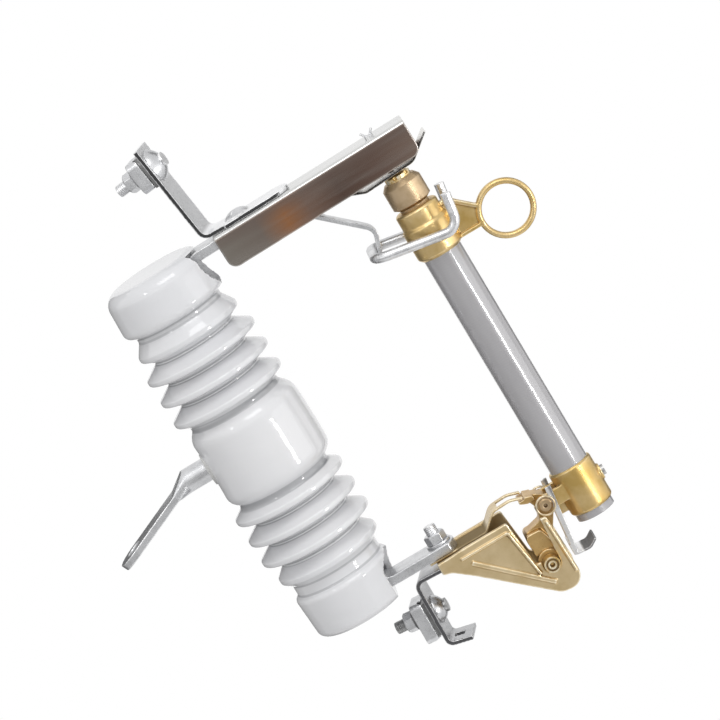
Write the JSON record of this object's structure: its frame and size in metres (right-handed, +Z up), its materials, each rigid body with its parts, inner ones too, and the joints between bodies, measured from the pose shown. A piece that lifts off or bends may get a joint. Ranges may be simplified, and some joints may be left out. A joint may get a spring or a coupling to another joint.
{
  "type": "dropout fuse cutout",
  "caption": "Dropout fuse cutout: porcelain insulator on a bracket, sprung contact hood with hook, hinge casting and a swinging fuse holder with pull ring.",
  "frame": {"origin": "centre of the bolt hole in the palm of the mounting bracket, on the palm's flat lower face", "axes": "+Z up, +X forward from the pole to the fuse tube, +Y to the left across the part; the insulator leans forward at its top"},
  "size_m": [0.4196, 0.095, 0.4697],
  "materials": {
    "porcelain": "glossy sky-grey glaze on fired porcelain",
    "cement": "matte grey sulphur cement",
    "galvanised_steel": "hot-dip galvanised steel, dull silver with soft mottling",
    "stainless_sheet": "rolled stainless sheet, smooth grey-brown sheen",
    "dark_steel": "oiled dark steel",
    "silver_plate": "silver-plated copper strip",
    "bronze": "cast bronze, golden brown with a fine cast grain",
    "pale_bronze": "machined pale bronze",
    "fibre_tube": "smooth grey glass-fibre tube with a coat of varnish"
  },
  "bodies": {
    "base": {"insulator": "porcelain", "upper_cement": "cement", "lower_cement": "cement", "bracket_cement": "cement", "mounting_bracket": "galvanised_steel", "upper_insert_bar": "galvanised_steel", "lower_insert_bar": "galvanised_steel", "contact_hood": "stainless_sheet", "hood_bolt": "galvanised_steel", "hood_nut": "galvanised_steel", "upper_contact": "silver_plate", "backup_spring": "galvanised_steel", "spring_pin": "galvanised_steel", "hook_rod": "galvanised_steel", "hook_support": "galvanised_steel", "upper_terminal_strap": "galvanised_steel", "upper_clamp_bolt": "galvanised_steel", "upper_clamp_nut": "galvanised_steel", "upper_lock_washer": "galvanised_steel", "upper_clamp_block": "galvanised_steel", "upper_clamp_plate": "dark_steel", "upper_clamp_pad": "galvanised_steel", "hinge_casting": "bronze", "hinge_contact": "bronze", "hinge_bolt": "galvanised_steel", "hinge_nut": "galvanised_steel", "hinge_washer": "galvanised_steel", "lower_terminal_strap": "galvanised_steel", "lower_clamp_bolt": "dark_steel", "lower_clamp_nut": "dark_steel", "lower_lock_washer": "dark_steel", "lower_clamp_block": "galvanised_steel", "lower_clamp_plate": "dark_steel", "lower_clamp_pad": "galvanised_steel"},
    "toggle": {"toggle_casting": "bronze", "trunnion_pin": "bronze", "toggle_pin": "pale_bronze"},
    "fuse_holder": {"fuse_tube": "fibre_tube", "upper_ferrule": "bronze", "contact_cap": "pale_bronze", "contact_tip": "bronze", "lower_ferrule": "bronze", "ferrule_screw": "dark_steel"},
    "flipper": {"flipper": "galvanised_steel", "torsion_spring": "dark_steel"}
  },
  "joints": [
    {"name": "drop_out_swing", "type": "hinge", "parent": "base", "child": "toggle", "pos_m": [0.17692, 0, -0.26181], "axis": [0, 1, 0], "range_deg": [0, 155]},
    {"name": "toggle_pivot", "type": "hinge", "parent": "toggle", "child": "fuse_holder", "pos_m": [0.21009, 0, -0.2328], "axis": [0, 1, 0], "range_deg": [-25, 0]},
    {"name": "flipper_pivot", "type": "hinge", "parent": "toggle", "child": "flipper", "pos_m": [0.21009, 0, -0.2328], "axis": [0, -1, 0], "range_deg": [0, 12]}
  ],
  "couplings": [
    {"joint": "toggle_pivot", "follows": "drop_out_swing", "ratio": -0.16}
  ]
}
